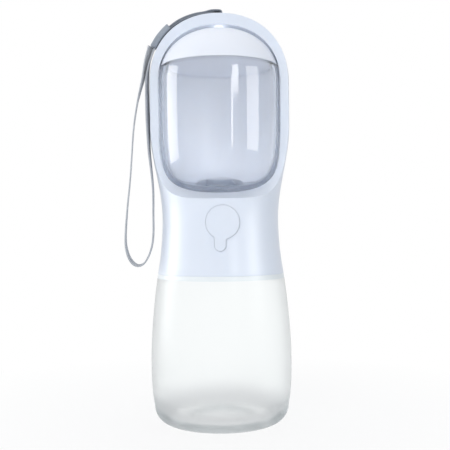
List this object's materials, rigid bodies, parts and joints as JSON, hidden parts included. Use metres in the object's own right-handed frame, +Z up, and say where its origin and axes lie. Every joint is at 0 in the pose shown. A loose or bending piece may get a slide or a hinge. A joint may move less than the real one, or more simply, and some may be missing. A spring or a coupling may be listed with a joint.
{
  "type": "dog travel water bottle",
  "caption": "Slim pet travel bottle: clear screw-off tank under a white head with a turning clear cup in a scooped front, a push-button valve and a webbing wrist strap.",
  "frame": {"origin": "centre of the tank's foot, on the surface the bottle stands on, measured without the strap", "axes": "+Z up along the bottle's axis; the button and the opening face -Y, so +X is to the right seen from the front"},
  "size_m": [0.0831, 0.0704, 0.2068],
  "materials": {
    "clear_plastic": "clear polished",
    "cup_plastic": "clear polished",
    "white_plastic": "satin moulded",
    "button_plastic": "satin moulded",
    "cap_plastic": "satin moulded",
    "inner_plastic": "moulded",
    "silicone": "matte",
    "steel": "plain stainless",
    "webbing": "woven",
    "keeper_fabric": "woven, stitched"
  },
  "bodies": {
    "tank": {"tank": "clear_plastic"},
    "seal": {"neck_seal": "silicone"},
    "head": {"head_shell": "white_plastic", "threaded_insert": "inner_plastic", "valve_body": "inner_plastic", "valve_screws": "steel", "spigot_ring": "silicone", "port_ring": "silicone", "port_gland": "inner_plastic", "spring_cage": "inner_plastic", "strap_pin": "steel", "strap_lead": "webbing", "strap_keeper": "keeper_fabric", "strap_loop": "webbing"},
    "cup": {"cup": "cup_plastic", "cup_cap": "cap_plastic", "cap_plate": "cap_plastic"},
    "button": {"button_pad": "button_plastic", "button_rod": "inner_plastic", "button_spring": "steel"},
    "valve": {"valve_stem": "inner_plastic", "valve_plug": "silicone", "valve_spring": "steel"}
  },
  "joints": [
    {"name": "head_rise", "type": "slide", "parent": "tank", "child": "seal", "axis": [0, 0, 1], "range_m": [0, 0.00375]},
    {"name": "head_turn", "type": "hinge", "parent": "seal", "child": "head", "pos_m": [0, 0, 0.09], "axis": [0, 0, 1], "range_deg": [0, 450]},
    {"name": "cup_turn", "type": "hinge", "parent": "head", "child": "cup", "pos_m": [0, 0, 0.12], "axis": [0, 0, 1], "range_deg": [0, 180]},
    {"name": "button_press", "type": "slide", "parent": "head", "child": "button", "axis": [0, 1, 0], "range_m": [0, 0.003], "stiffness_N_per_m": 500, "springref_m": -0.001, "deforming": ["button_spring"]},
    {"name": "valve_drop", "type": "slide", "parent": "head", "child": "valve", "axis": [0, 0, -1], "range_m": [0, 0.003], "stiffness_N_per_m": 300, "springref_m": -0.001, "deforming": ["valve_spring"]}
  ],
  "couplings": [
    {"joint": "head_rise", "follows": "head_turn", "m_per_rad": 0.00047746},
    {"joint": "valve_drop", "follows": "button_press", "ratio": 1}
  ]
}
